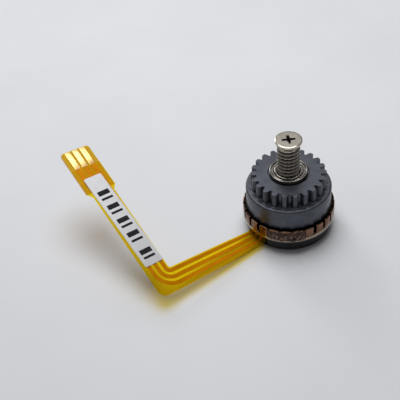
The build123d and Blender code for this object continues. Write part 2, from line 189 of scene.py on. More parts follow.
# ---------------------------------------------------------------- material helpers
NOISE_ROUGHNESS = 0.55
CLOUD_STOPS = (0.35, 0.65)
MIX_A, MIX_B, MIX_RESULT = 6, 7, 2


class Shader:
    """A small wrapper that builds one Principled material node by node."""

    def __init__(self, name, **sockets):
        self.material = bpy.data.materials.new(name)
        self.material.use_nodes = True
        self.nodes = self.material.node_tree.nodes
        self.links = self.material.node_tree.links
        self.principled = self.nodes["Principled BSDF"]
        for socket, value in sockets.items():
            self.principled.inputs[socket.replace("_", " ")].default_value = value
        self.place = self.nodes.new("ShaderNodeTexCoord").outputs["Object"]

    def node(self, kind, inputs=None, **settings):
        """Add a node, link or set its inputs, and set its own properties."""
        made = self.nodes.new(kind)
        for key, value in settings.items():
            setattr(made, key, value)
        for key, value in (inputs or {}).items():
            if isinstance(value, bpy.types.NodeSocket):
                self.links.new(value, made.inputs[key])
            else:
                made.inputs[key].default_value = value
        return made

    def noise(self, scale, detail=4.0):
        """Noise in object space. Scale is in features per millimetre."""
        inputs = {"Vector": self.place, "Scale": scale / MM, "Detail": detail, "Roughness": NOISE_ROUGHNESS}
        return self.node("ShaderNodeTexNoise", inputs).outputs["Fac"]

    def ramp(self, fac, stops):
        """Colour or value ramp: stops are (position, colour) pairs."""
        made = self.node("ShaderNodeValToRGB", {"Fac": fac})
        elements = made.color_ramp.elements
        while len(elements) < len(stops):
            elements.new(0.5)
        for element, (position, colour) in zip(elements, stops):
            element.position = position
            element.color = (*colour, 1.0)
        return made.outputs["Color"]

    def remap(self, fac, low, high):
        """Spread a 0 to 1 value over a range."""
        made = self.node("ShaderNodeMapRange", {"Value": fac, "To Min": low, "To Max": high})
        return made.outputs["Result"]

    def bump(self, height, distance, normal=None):
        """Bump map. Distance is in millimetres."""
        inputs = {"Height": height, "Distance": distance * MM, "Strength": 1.0}
        if normal:
            inputs["Normal"] = normal
        return self.node("ShaderNodeBump", inputs).outputs["Normal"]

    def clouded(self, cloud, dark, light):
        """Colour that drifts between two tones."""
        return self.ramp(cloud, [(CLOUD_STOPS[0], dark), (CLOUD_STOPS[1], light)])

    def blend(self, fac, first, second):
        """Mix of two colours, each a socket or an RGBA value."""
        inputs = {0: fac, MIX_A: first, MIX_B: second}
        return self.node("ShaderNodeMix", inputs, data_type="RGBA").outputs[MIX_RESULT]

    def rise(self, value, start, end):
        """0 at one value and 1 at the other, both in millimetres."""
        inputs = {"Value": value, "From Min": start * MM, "From Max": end * MM}
        return self.node("ShaderNodeMapRange", inputs).outputs["Result"]

    def height(self):
        """Height above the floor."""
        return self.node("ShaderNodeSeparateXYZ", {"Vector": self.place}).outputs["Z"]

    def set(self, socket, value):
        """Drive a socket of the Principled shader."""
        self.links.new(value, self.principled.inputs[socket])


def mottled(name, dark, light, scale, rough_low, rough_high, grain, grain_depth, **sockets):
    """General surface: a colour that varies a little, roughness that follows, and a fine grain."""
    shader = Shader(name, **sockets)
    cloud = shader.noise(scale)
    shader.colour = shader.clouded(cloud, dark, light)
    shader.set("Base Color", shader.colour)
    shader.set("Roughness", shader.remap(cloud, rough_low, rough_high))
    shader.set("Normal", shader.bump(shader.noise(grain, 6.0), grain_depth))
    return shader


def turned_metal(
        name, dark, light, rough_low, rough_high, groove_pitch, groove_depth, cloud_scale=0.9, **sockets):
    """Lathe-turned metal: fine rings about the axis, with a little variation in tone and gloss."""
    sockets.setdefault("Metallic", 1.0)
    shader = Shader(name, **sockets)
    wave_scale = 2 * pi / (20 * groove_pitch * MM)
    rings = shader.node(
        "ShaderNodeTexWave",
        {"Vector": shader.place, "Scale": wave_scale, "Distortion": 0.6, "Detail": 1.0},
        wave_type="RINGS",
        rings_direction="Z",
    ).outputs["Fac"]
    shader.colour = shader.clouded(shader.noise(cloud_scale), dark, light)
    shader.set("Base Color", shader.colour)
    shader.set("Roughness", shader.remap(shader.noise(2.2), rough_low, rough_high))
    fine = shader.bump(rings, groove_depth)
    shader.set("Normal", shader.bump(shader.noise(12.0, 5.0), groove_depth * 0.6, normal=fine))
    return shader


def clear_film(name, tint, body, opacity):
    """Thin tinted plastic film: most of the light goes through and takes the tint."""
    shader = Shader(name, Specular_IOR_Level=0.3)
    cloud = shader.noise(0.8)
    shader.set("Base Color", shader.ramp(cloud, [(0.3, [c * 0.85 for c in body]), (0.7, body)]))
    shader.set("Roughness", shader.remap(shader.noise(1.5), 0.16, 0.30))
    shader.set("Normal", shader.bump(shader.noise(0.7, 3.0), 0.010))
    through = shader.node("ShaderNodeBsdfTransparent", {"Color": (*tint, 1.0)})
    mix = shader.node(
        "ShaderNodeMixShader",
        {0: opacity, 1: through.outputs["BSDF"], 2: shader.principled.outputs["BSDF"]},
    )
    output = next(n for n in shader.nodes if n.type == "OUTPUT_MATERIAL")
    shader.links.new(mix.outputs["Shader"], output.inputs["Surface"])
    return shader


def shade_by_radius(shader, inner, outer, colour, dark):
    """Darken a colour towards the axis, between two radii: painted shade in grooves and slots."""
    flat = shader.node("ShaderNodeVectorMath", {0: shader.place, 1: (1, 1, 0)}, operation="MULTIPLY")
    distance = shader.node("ShaderNodeVectorMath", {0: flat.outputs["Vector"]}, operation="LENGTH")
    clean = shader.rise(distance.outputs["Value"], inner, outer)
    return shader.blend(clean, (*dark, 1.0), colour)


# ---------------------------------------------------------------- materials
anodised = turned_metal(
    "anodised_dark", (0.068, 0.074, 0.091), (0.092, 0.098, 0.118), 0.30, 0.40, 0.07, 0.0012,
    Metallic=0.75)

# bronze: paler below the slot floor and darker above it, with painted shade inside the slots and under the
# rotor
bronze = turned_metal(
    "stator_bronze", (0.115, 0.058, 0.036), (0.25, 0.14, 0.088), 0.16, 0.26, 0.05, 0.0010,
    cloud_scale=1.1)
above_rim = bronze.rise(bronze.height(), 1.94, 2.06)
pale_rim = bronze.clouded(bronze.noise(1.3), (0.36, 0.29, 0.22), (0.50, 0.42, 0.33))
two_tone = bronze.blend(above_rim, pale_rim, bronze.colour)
# painted shade: near black inside a radius of 5.10 mm, on the slot walls and the teeth's tops under the
# rotor
painted_slot_shade = shade_by_radius(bronze, 5.10, 5.16, two_tone, (0.012, 0.008, 0.006))
bronze.set("Base Color", bronze.blend(above_rim, two_tone, painted_slot_shade))

base_black = turned_metal(
    "base_black", (0.012, 0.012, 0.014), (0.020, 0.020, 0.023), 0.30, 0.42, 0.06, 0.0015, Metallic=0.4)
bearing_steel = turned_metal(
    "bearing_steel", (0.26, 0.245, 0.22), (0.34, 0.32, 0.29), 0.14, 0.22, 0.04, 0.0006)

# nickel: painted shade darkens the thread's roots and the cross recess, and the head's top face is left
# unshaded
screw_top = span("mount_screw")[1].z
nickel = mottled(
    "screw_nickel", (0.50, 0.455, 0.39), (0.60, 0.55, 0.475), 1.6, 0.14, 0.22, 14.0, 0.0005, Metallic=1.0)
# painted shade: darker inside a radius of 1.06 mm, on the thread's roots and in the cross recess
painted_thread_shade = shade_by_radius(nickel, 1.06, 1.22, nickel.colour, (0.055, 0.045, 0.038))
head_top = nickel.rise(nickel.height(), screw_top - 0.10, screw_top - 0.03)
nickel.set("Base Color", nickel.blend(head_top, painted_thread_shade, nickel.colour))

post_steel = turned_metal(
    "post_steel", (0.50, 0.49, 0.47), (0.60, 0.58, 0.55), 0.25, 0.35, 0.08, 0.0015)
felt = mottled(
    "felt_grey", (0.045, 0.043, 0.040), (0.080, 0.076, 0.072), 3.0, 0.9, 1.0, 9.0, 0.05, Sheen_Weight=0.3)
piezo = mottled(
    "piezo_ceramic", (0.10, 0.095, 0.09), (0.15, 0.145, 0.14), 2.0, 0.45, 0.60, 20.0, 0.004)
lining = mottled(
    "lining_dark", (0.035, 0.032, 0.028), (0.060, 0.055, 0.048), 2.0, 0.55, 0.70, 15.0, 0.004)
rubber = mottled(
    "rubber_black", (0.018, 0.018, 0.018), (0.032, 0.032, 0.032), 2.0, 0.65, 0.80, 12.0, 0.006)
spring_wire = mottled(
    "spring_steel", (0.45, 0.44, 0.42), (0.58, 0.56, 0.53), 2.0, 0.22, 0.32, 16.0, 0.001, Metallic=1.0)
cage_brass = mottled(
    "cage_brass", (0.60, 0.46, 0.22), (0.74, 0.58, 0.30), 2.0, 0.25, 0.38, 14.0, 0.002, Metallic=1.0)
copper = mottled(
    "trace_copper", (0.43, 0.165, 0.02), (0.50, 0.205, 0.035), 1.2, 0.30, 0.42, 12.0, 0.002, Metallic=0.25)
gold = mottled(
    "contact_gold", (0.74, 0.47, 0.17), (0.86, 0.60, 0.27), 1.5, 0.26, 0.38, 12.0, 0.002, Metallic=0.85)
paper = mottled(
    "label_paper", (0.66, 0.66, 0.68), (0.72, 0.72, 0.74), 1.5, 0.50, 0.65, 10.0, 0.004)
ink = mottled(
    "label_ink", (0.008, 0.008, 0.010), (0.016, 0.016, 0.019), 3.0, 0.6, 0.7, 12.0, 0.002,
    Specular_IOR_Level=0.15)

# adhesive: dark brown, with painted highlights as pale wiggly marks along its lower part
glue_brown = (0.040, 0.017, 0.009)
glint_edge = (0.16, 0.085, 0.055)
glint_pale = (0.50, 0.38, 0.30)
glue = mottled(
    "adhesive_clear", glue_brown, (0.090, 0.042, 0.022), 1.1, 0.05, 0.11, 1.4, 0.006,
    Coat_Weight=0.15, Coat_Roughness=0.03, Specular_IOR_Level=0.15)
# painted highlights: thin pale bands from noise, fading in below 2.75 mm and full below 2.45 mm
glint_stops = [(0.44, glue_brown), (0.48, glint_edge), (0.50, glint_pale)]
glint_stops += [(0.52, glint_edge), (0.56, glue_brown)]
painted_glints = glue.ramp(glue.noise(2.0, 3.0), glint_stops)
glue.set("Base Color", glue.blend(glue.rise(glue.height(), 2.75, 2.45), glue.colour, painted_glints))

film = clear_film("polyimide_film", (0.995, 0.935, 0.31), (0.85, 0.58, 0.02), 0.05)
cover = clear_film("polyimide_cover", (0.990, 0.910, 0.25), (0.85, 0.55, 0.01), 0.05)
stiffener = clear_film("polyimide_stiffener", (0.885, 0.73, 0.56), (0.70, 0.40, 0.04), 0.10)


# ---------------------------------------------------------------- rotor with its gear
GEAR_TEETH = 22
GEAR_MODULE = 0.35
GEAR_PHASE = radians(-79.75)
GEAR_SHIFT = 0.55
GEAR_TIP_R = 4.20
PRESSURE_ANGLE = radians(20.0)


def gear_outline():
    """Points of the gear outline, with rounded tips and slightly rounded roots, counter-clockwise."""
    pitch_r = GEAR_MODULE * GEAR_TEETH / 2
    slope = tan(PRESSURE_ANGLE)
    base_r = pitch_r * cos(PRESSURE_ANGLE)
    root_r = pitch_r - GEAR_MODULE * (1.25 - GEAR_SHIFT)
    half_tooth = (pi / 2 + 2 * GEAR_SHIFT * slope) / GEAR_TEETH + slope - PRESSURE_ANGLE
    half_pitch = pi / GEAR_TEETH
    flank_end = GEAR_TIP_R - 0.06
    steps = 6
    flank = []
    for step in range(steps + 1):
        r = base_r + (flank_end - base_r) * step / steps
        roll = acos(base_r / r)
        flank.append((r, half_tooth - (tan(roll) - roll)))
    tip_angle = flank[-1][1]
    tip = [(GEAR_TIP_R - 0.025, tip_angle * 0.93), (GEAR_TIP_R - 0.005, tip_angle * 0.78)]
    tip += [(GEAR_TIP_R, tip_angle * 0.5)]
    gap = half_pitch - half_tooth
    root = [(root_r, half_pitch - gap * 0.35), (root_r + 0.004, half_pitch - gap * 0.75)]
    half = root + flank + tip
    points = []
    for tooth in range(GEAR_TEETH):
        centre = GEAR_PHASE + tooth * 2 * half_pitch
        for r, angle in half:
            points.append(Vector((r * cos(centre - angle), r * sin(centre - angle))))
        points.append(Vector((GEAR_TIP_R * cos(centre), GEAR_TIP_R * sin(centre))))
        for r, angle in reversed(half):
            points.append(Vector((r * cos(centre + angle), r * sin(centre + angle))))
    return points


def inset(points, distance):
    """Move a closed outline inwards along its normals."""
    moved = []
    for i, point in enumerate(points):
        along = (points[(i + 1) % len(points)] - points[i - 1]).normalized()
        moved.append(point - Vector((along.y, -along.x)) * distance)
    return moved


def make_rotor():
    """Skirt, flange, gear and bearing pocket as one closed skin."""
    outline = gear_outline()
    angles = [atan2(p.y, p.x) for p in outline]

    def circle(r, z):
        return [(r * cos(a), r * sin(a), z) for a in angles]

    def gear(distance, z):
        return [(p.x, p.y, z) for p in inset(outline, distance)]

    low, high = span("rotor_gear")
    skirt_r, bottom, top = high.y, low.z, high.z
    flange_top, chamfer = 5.77, 0.11
    hub_bore_r, web_bottom, skirt_bore_r = 1.75, 5.0, 3.75
    groove_in, groove_out, groove_top = 3.95, 4.55, 3.60
    pocket_r, pocket_floor = 2.15, 5.20
    lead_r, lead_floor = 2.29, top - 0.25

    loops = [circle(hub_bore_r, web_bottom), circle(skirt_bore_r, web_bottom), circle(skirt_bore_r, bottom)]
    loops += [circle(groove_in, bottom), circle(groove_in, groove_top)]
    loops += [circle(groove_out, groove_top), circle(groove_out, bottom)]
    skirt = [(0, bottom), (skirt_r, bottom), (skirt_r, bottom + 1), (0, bottom + 1)]
    loops += [circle(r, z) for r, z in rounded(skirt, 0.06)[4:8]]
    edge = [(skirt_r, flange_top - chamfer - 0.02), (skirt_r - 0.006, flange_top - chamfer)]
    edge += [(skirt_r - chamfer, flange_top - 0.006), (skirt_r - chamfer - 0.02, flange_top)]
    edge += [(4.45, flange_top)]
    loops += [circle(r, z) for r, z in edge]
    for distance, z in (
            (-0.05, flange_top), (-0.015, flange_top + 0.015), (0.0, flange_top + 0.06), (0.0, top - 0.05),
            (0.008, top - 0.02), (0.022, top - 0.005), (0.04, top), (0.055, top)):
        loops.append(gear(distance, z))
    loops += [circle(3.25, top), circle(lead_r + 0.07, top), circle(lead_r + 0.04, top)]
    loops += [circle(lead_r, top - 0.04), circle(lead_r, lead_floor), circle(pocket_r, lead_floor)]
    loops += [circle(pocket_r, pocket_floor), circle(hub_bore_r, pocket_floor)]
    return finish_mesh("rotor_with_gear", stack(loops), "rotor", anodised.material, 30)


rotor = make_rotor()
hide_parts("rotor_gear")


# ---------------------------------------------------------------- stator comb
SLOTS = 24
SLOT_WIDTH = 0.38
SLOT_PHASE = radians(-10.5)


def make_stator():
    """Comb ring: below the slot floor it is a plain ring, above it the teeth stand apart."""
    low, high = span("stator_ring")
    outer, seat, top = high.y, low.z, high.z
    edge_z, floor, inner, hub, web = 1.58, 2.00, 3.70, 2.01, 1.70
    lower_out = [(outer, floor), (outer, floor - 0.12), (outer, edge_z + 0.10)]
    lower_out += [(outer - 0.02, edge_z + 0.03), (outer - 0.07, edge_z - 0.03), (outer - 0.20, seat)]
    lower_out += [(hub, seat), (hub, web)]
    lower_out += [(inner, web), (inner, floor)]
    upper = [(outer, floor), (outer, top - 0.05), (outer - 0.015, top - 0.015), (outer - 0.05, top)]
    upper += [(inner + 0.05, top), (inner, top - 0.05), (inner, floor)]
    bm = bmesh.new()
    pitch = 2 * pi / SLOTS
    steps = 8
    half = SLOT_WIDTH / 2

    def at(r, k, part, side):
        """Angle of a station: sides of a slot are parallel, so they depend on the radius."""
        centre = SLOT_PHASE + k * pitch
        wall = asin(half / r)
        if side == "slot":
            return centre + wall * part
        return centre + wall + (pitch - 2 * wall) * part

    def rows(points, k, part, side):
        """Vertices of one station, from its (r, z) profile."""
        made = []
        for r, z in points:
            turn = at(r, k, part, side)
            made.append(bm.verts.new((r * cos(turn), r * sin(turn), z)))
        return made

    def skin(a, b):
        for i in range(len(a) - 1):
            bm.faces.new((a[i], b[i], b[i + 1], a[i + 1]))

    for k in range(SLOTS):
        slot_rows = [rows(lower_out, k, part, "slot") for part in (-1, 0, 1)]
        for a, b in zip(slot_rows, slot_rows[1:]):
            skin(a, b)
            bm.faces.new((a[0], a[-1], b[-1], b[0]))
        tooth_low = [rows(lower_out, k, step / steps, "tooth") for step in range(steps + 1)]
        tooth_up = [rows(upper, k, step / steps, "tooth") for step in range(steps + 1)]
        for a, b in zip(tooth_low, tooth_low[1:]):
            skin(a, b)
        for a, b in zip(tooth_up, tooth_up[1:]):
            skin(b, a)
        bm.faces.new(tooth_up[0])
        bm.faces.new(list(reversed(tooth_up[-1])))
    obj = finish_mesh("stator_comb", bm, "stator", bronze.material)
    return bevel(obj, 0.022, 2, 50)


stator = make_stator()
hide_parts("stator_ring")


# ---------------------------------------------------------------- adhesive bead on the comb
def make_bead():
    """Lumpy bead of adhesive over the front of the comb, thicker along its lower edge."""
    low, high = span("stator_adhesive")
    outer = radius("stator_ring")
    back_r = outer - 0.25
    start, end = radians(-117.0), radians(-69.0)
    columns, rows = 120, 34
    bm = bmesh.new()
    front, back = [], []
    for i in range(columns + 1):
        u = i / columns
        bottom = low.z + 0.08 + 0.14 * noise.noise(Vector((u * 7, 0, 3)))
        top = high.z - 0.06 + 0.12 * noise.noise(Vector((u * 6, 4, 3)))
        front_row, back_row = [], []
        for j in range(rows + 1):
            v = j / rows
            z = bottom + (top - bottom) * v
            sway = radians(2.5) * noise.noise(Vector((4 * u, v * 2.2, 7)))
            turn = start + (end - start) * u + sway
            side = min(1.0, 7 * u, 7 * (1 - u)) ** 0.5
            swell = side * (4 * v * (1 - v)) ** 0.5
            lumps = noise.noise(Vector((u * 8, v * 2.2, 0)))
            lumps += 0.35 * noise.noise(Vector((u * 17, v * 5, 5)))
            depth = swell * (0.10 + 0.16 * lumps + 0.060 * (1 - v)) - 0.022
            r = outer + max(-0.03, depth)
            front_row.append(bm.verts.new((r * cos(turn), r * sin(turn), z)))
            back_row.append(bm.verts.new((back_r * cos(turn), back_r * sin(turn), z)))
        front.append(front_row)
        back.append(back_row)
    for i in range(columns):
        for j in range(rows):
            bm.faces.new((front[i][j], front[i + 1][j], front[i + 1][j + 1], front[i][j + 1]))
            bm.faces.new((back[i][j], back[i][j + 1], back[i + 1][j + 1], back[i + 1][j]))
        bm.faces.new((front[i][0], back[i][0], back[i + 1][0], front[i + 1][0]))
        bm.faces.new((front[i][rows], front[i + 1][rows], back[i + 1][rows], back[i][rows]))
    for i in (0, columns):
        for j in range(rows):
            bm.faces.new((front[i][j], front[i][j + 1], back[i][j + 1], back[i][j]))
    return finish_mesh("adhesive_bead", bm, "stator", glue.material, 70)


bead = make_bead()
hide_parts("stator_adhesive")


# ---------------------------------------------------------------- bearing
def make_bearing():
    """Two races with rounded lips, and shields that sit in rebates of the outer race."""
    low, high = span("bearing_outer_race")
    outer_r = radius("bearing_outer_race")
    steel = bearing_steel.material
    bore, groove, rebate = 1.86, 1.94, 0.16
    profile = [(groove, low.z), (outer_r, low.z), (outer_r, high.z), (groove, high.z)]
    profile += [(groove, high.z - rebate), (bore, high.z - rebate)]
    profile += [(bore, low.z + rebate), (groove, low.z + rebate)]
    ring = lathe(rounded(profile, 0.06))
    outer_race = finish_mesh("outer_race", ring, "bearing_outer", steel)
    inner_r, inner_bore = radius("bearing_inner_race"), 1.33
    profile = [(inner_bore, low.z), (inner_r, low.z), (inner_r, high.z), (inner_bore, high.z)]
    ring = lathe(rounded(profile, 0.07))
    inner_race = finish_mesh("inner_race", ring, "bearing_inner", steel)
    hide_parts("bearing_outer_race")
    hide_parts("bearing_inner_race")
    shield_in, shield_out = 1.68, 1.865
    for node in ("bearing_shield_top", "bearing_shield_bottom"):
        low, high = span(node)
        profile = [(shield_in, low.z), (shield_out, low.z), (shield_out, high.z), (shield_in, high.z)]
        name = node.replace("bearing_", "") + "_ring"
        ring = lathe(rounded(profile, 0.03, 2))
        shield = finish_mesh(name, ring, "bearing_outer", steel)
        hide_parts(node)


make_bearing()


# ---------------------------------------------------------------- base
TAIL_AZIMUTH = radians(222.1)
NOTCH_FLOOR = 0.28


def make_base():
    """Round cup with a rounded foot, a hub for the post, and the notch that the tail leaves through."""
    high = span("base_plate")[1]
    r = high.y
    foot_r, steps = 0.30, 6
    wall_in, wall_top, lip, floor_top = r - 0.38, 1.30, 0.04, 0.55
    hub_out, hub_in, seat_z, seat_r = 2.65, 2.01, 0.31, 2.51
    profile = [(r - foot_r, 0)]
    for step in range(1, steps + 1):
        turn = pi / 2 * step / steps
        profile.append((r - foot_r + foot_r * sin(turn), foot_r - foot_r * cos(turn)))
    profile += [(r, wall_top - lip), (r - lip, wall_top)]
    profile += [(wall_in + lip, wall_top), (wall_in, wall_top - lip)]
    profile += [(wall_in, floor_top), (hub_out, floor_top), (hub_out, high.z), (hub_in, high.z)]
    profile += [(hub_in, seat_z), (seat_r, seat_z), (seat_r, 0.0)]
    base = finish_mesh("base_cup", lathe(profile), "stator", base_black.material, 30)
    notch_depth, notch_width, notch_height = 0.91, 3.02, 2.0
    notch = bmesh.new()
    bmesh.ops.create_cube(notch, size=1.0)
    size = Vector((notch_depth, notch_width, notch_height)) * MM
    bmesh.ops.scale(notch, vec=size, verts=notch.verts)
    mesh = bpy.data.meshes.new("notch")
    notch.to_mesh(mesh)
    notch.free()
    cutter = bpy.data.objects.new("notch", mesh)
    bpy.context.scene.collection.objects.link(cutter)
    centre = Vector((r * cos(TAIL_AZIMUTH), r * sin(TAIL_AZIMUTH), NOTCH_FLOOR + notch_height / 2)) * MM
    cutter.matrix_world = Matrix.Translation(centre) @ Matrix.Rotation(TAIL_AZIMUTH, 4, "Z")
    bpy.context.view_layer.update()
    return cut(base, cutter)


base = make_base()
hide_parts("base_plate")


# ---------------------------------------------------------------- mounting screw
THREAD_PITCH = 0.474
THREAD_DEPTH = 0.25


def make_screw():
    """Shank with a real helical thread, and a countersunk head with a cross recess."""
    low, high = span("mount_screw")
    crest_r, head_r = 1.27, high.x
    underside, rim = 11.33, high.z - 0.27
    columns, rows_per_turn = 72, 16
    rows = int((underside - low.z) / (THREAD_PITCH / rows_per_turn))
    loops = []
    for j in range(rows + 1):
        z = low.z + (underside - low.z) * j / rows
        fade = min(1.0, (z - low.z) / 0.5, (underside + 0.02 - z) / 0.12)
        lead = min(0.0, (z - low.z) - 0.30)
        loop = []
        for i in range(columns):
            phase = (z / THREAD_PITCH - i / columns) % 1.0
            ridge = min(1.0, max(0.0, 2.6 * abs(phase - 0.5) - 0.16))
            r = crest_r - THREAD_DEPTH * (1 - ridge) * max(0.0, fade) + lead
            turn = 2 * pi * i / columns
            loop.append((r * cos(turn), r * sin(turn), z))
        loops.append(loop)
    head = [(crest_r + 0.02, underside + 0.03), (crest_r + 0.05, underside + 0.05)]
    head += [(head_r - 0.03, rim - 0.02), (head_r - 0.006, rim), (head_r, rim + 0.03)]
    head += [(head_r, high.z - 0.10), (head_r - 0.02, high.z - 0.04), (head_r - 0.06, high.z - 0.012)]
    head += [(head_r - 0.14, high.z - 0.003), (head_r - 0.4, high.z)]
    turns = [2 * pi * i / columns for i in range(columns)]
    for r, z in head:
        loops.append([(r * cos(turn), r * sin(turn), z) for turn in turns])
    skin = stack(loops, closed=False)
    screw = finish_mesh("cross_screw", skin, "screw", nickel.material, 50)

    def cross(half_span, half_width, z):
        """Cross outline with flared inner corners."""
        flare = half_width * 1.30
        arm = [(half_span, -half_width), (half_span, half_width), (flare, flare)]
        points = []
        for quarter in range(4):
            turn = quarter * pi / 2 + radians(9)
            for x, y in arm:
                points.append((x * cos(turn) - y * sin(turn), x * sin(turn) + y * cos(turn), z))
        return points

    # half span, half width and height from the head's top of each section of the recess
    levels = [(0.80, 0.165, 0.10), (0.74, 0.150, -0.02), (0.56, 0.130, -0.28), (0.34, 0.10, -0.50),
              (0.06, 0.05, -0.66)]
    tool = stack([cross(a, b, high.z + z) for a, b, z in levels], closed=False)
    bmesh.ops.recalc_face_normals(tool, faces=tool.faces)
    bmesh.ops.scale(tool, vec=(MM, MM, MM), verts=tool.verts)
    mesh = bpy.data.meshes.new("recess")
    tool.to_mesh(mesh)
    tool.free()
    cutter = bpy.data.objects.new("recess", mesh)
    bpy.context.scene.collection.objects.link(cutter)
    return cut(screw, cutter)


screw = make_screw()
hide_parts("mount_screw")


# ---------------------------------------------------------------- flexible tail
TAIL_ROOT = 4.45
TAIL_EXIT = 5.00
TAIL_EXIT_Z = 0.46
TAIL_RUN = 11.0
TAIL_RISE = radians(7.2)
TAIL_ROLL = radians(21.3)
TAIL_WIDTH = 2.72
CORNER_RUN = 1.65
ARM_LENGTH = 19.35
END_WIDTH = 3.68
END_R = 0.40
CORNER_R_IN = 0.25
CORNER_R_OUT = 0.90
SHOULDER = (12.7, 13.3)
CONTACT_START = 16.75
CONTACT_PITCH = 0.95
CONTACT_WIDTH = 0.66
LANES = (-0.58, 0.20, 0.98)
TRACE_WIDTH = 0.46
STIFFENER_START = 13.4
FLEX_Z = 1.00
FILM_T = 0.05
TRACE_T = 0.035
COVER_T = 0.07
FINGER_T = 0.045
STIFFENER_T = 0.20
LABEL_T = 0.06
SKIN_GAP = 0.001

OUTWARD = Vector((cos(TAIL_AZIMUTH), sin(TAIL_AZIMUTH), 0))
ACROSS = OUTWARD.cross(Vector((0, 0, 1)))
FORWARD = OUTWARD * cos(TAIL_RISE) + Vector((0, 0, sin(TAIL_RISE)))
FACE_UP = Vector((0, 0, cos(TAIL_RISE))) - OUTWARD * sin(TAIL_RISE)


def tail_station(distance):
    """Origin, across, forward and up directions of the tail, at a distance beyond its exit."""
    roll = TAIL_ROLL * min(1.0, distance / TAIL_RUN)
    across = ACROSS * cos(roll) + FACE_UP * sin(roll)
    up = FACE_UP * cos(roll) - ACROSS * sin(roll)
    origin = OUTWARD * TAIL_EXIT + Vector((0, 0, TAIL_EXIT_Z)) + FORWARD * distance
    return origin, across, FORWARD, up


CORNER = tail_station(TAIL_RUN + CORNER_RUN)


def on_flat(u, v, w):
    """Point on the flat part: u along the second arm, v outwards, w out of the upper face."""
    origin, along, outward, up = CORNER
    return origin + along * u + outward * v + up * w


def arc(centre, r, start, end, steps):
    """Points of an arc, angles in degrees."""
    points = []
    for k in range(steps + 1):
        turn = radians(start + (end - start) * k / steps)
        points.append((centre[0] + r * cos(turn), centre[1] + r * sin(turn)))
    return points


def slab(bm, outline, bottom, top):
    """Closed plate on the flat part, from its (u, v) outline."""
    low = [bm.verts.new(on_flat(u, v, bottom)) for u, v in outline]
    high = [bm.verts.new(on_flat(u, v, top)) for u, v in outline]
    flat = [Vector((u, v, 0)) for u, v in outline]
    for a, b, c in tessellate_polygon([flat]):
        bm.faces.new((low[a], low[c], low[b]))
        bm.faces.new((high[a], high[b], high[c]))
    count = len(outline)
    for i in range(count):
        j = (i + 1) % count
        bm.faces.new((low[i], low[j], high[j], high[i]))


def ribbon(bm, inner, left, right, bottom, top):
    """Strip out of the motor, down its notch and along the first arm, open at its far end."""
    stations = []
    for r, z in ((inner, 0.0), (TAIL_ROOT - 0.06, 0.0), (TAIL_ROOT, -0.02)):
        stations.append((OUTWARD * r + Vector((0, 0, FLEX_Z + z)), ACROSS, Vector((0, 0, 1))))
    foot = OUTWARD * (TAIL_EXIT - 0.06) + Vector((0, 0, TAIL_EXIT_Z + 0.045))
    stations.append((foot, ACROSS, FACE_UP))
    steps = 44
    for step in range(steps + 1):
        origin, across, _, up = tail_station(TAIL_RUN * step / steps)
        stations.append((origin, across, up))
    rows = []
    for origin, across, up in stations:
        corners = ((left, bottom), (right, bottom), (right, top), (left, top))
        rows.append([bm.verts.new(origin + across * x + up * y) for x, y in corners])
    for a, b in zip(rows, rows[1:]):
        for i in range(4):
            j = (i + 1) % 4
            bm.faces.new((a[i], a[j], b[j], b[i]))
    bm.faces.new(list(reversed(rows[0])))


def open_seam(bm):
    """Delete the walls of the flat part where the strips of the first arm join it."""
    origin, _, outward, _ = CORNER
    doomed = []
    for face in bm.faces:
        places = [(v.co - origin).dot(outward) for v in face.verts]
        if all(abs(p + CORNER_RUN) < 1e-4 for p in places):
            doomed.append(face)
    bmesh.ops.delete(bm, geom=doomed, context="FACES")


def tail_outline(end_u, wide):
    """Outline of the corner and the second arm, with the wide contact end if asked for."""
    half = TAIL_WIDTH / 2
    points = [(-half, -CORNER_RUN), (half, -CORNER_RUN)]
    points += arc((half + CORNER_R_IN, -half - CORNER_R_IN), CORNER_R_IN, 180, 90, 6)
    if wide:
        w = END_WIDTH / 2
        points += [(SHOULDER[0], -half), (SHOULDER[1], -w)]
        if end_u >= ARM_LENGTH - END_R:
            points += arc((ARM_LENGTH - END_R, -w + END_R), END_R, -90, 0, 6)
            points += arc((ARM_LENGTH - END_R, w - END_R), END_R, 0, 90, 6)
        else:
            points += [(end_u, -w), (end_u, w)]
        points += [(SHOULDER[1], w), (SHOULDER[0], half)]
    else:
        points += [(end_u, -half), (end_u, half)]
    points += arc((-half + CORNER_R_OUT, half - CORNER_R_OUT), CORNER_R_OUT, 90, 180, 12)
    return points


def trace_outline(place):
    """Outline of one conductor on the flat part."""
    lane = LANES[place + 1]
    half, wide = TRACE_WIDTH / 2, CONTACT_WIDTH / 2
    reach = LANES[2] + half + 0.30
    centre = (reach, -reach)
    r = reach - lane
    y = -place * CONTACT_PITCH
    points = [(lane + half, -CORNER_RUN)]
    points += arc(centre, r - half, 180, 90, 16)
    points += [(SHOULDER[0], -lane - half), (SHOULDER[1] + 0.9, y - wide), (CONTACT_START, y - wide)]
    points += [(CONTACT_START, y + wide), (SHOULDER[1] + 0.9, y + wide), (SHOULDER[0], -lane + half)]
    points += arc(centre, r + half, 90, 180, 16)
    points += [(lane - half, -CORNER_RUN)]
    return points


def tail_layer(name, node, material, strips, outlines, bottom, top, inner):
    """One layer of the tail: strips along the first arm that run on into plates beyond the corner."""
    bm = bmesh.new()
    for outline in outlines:
        slab(bm, outline, bottom, top)
    open_seam(bm)
    for left, right in strips:
        ribbon(bm, inner, left, right, bottom, top)
    obj = finish_mesh(name, bm, "stator", material, 40)
    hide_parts(node)
    return obj


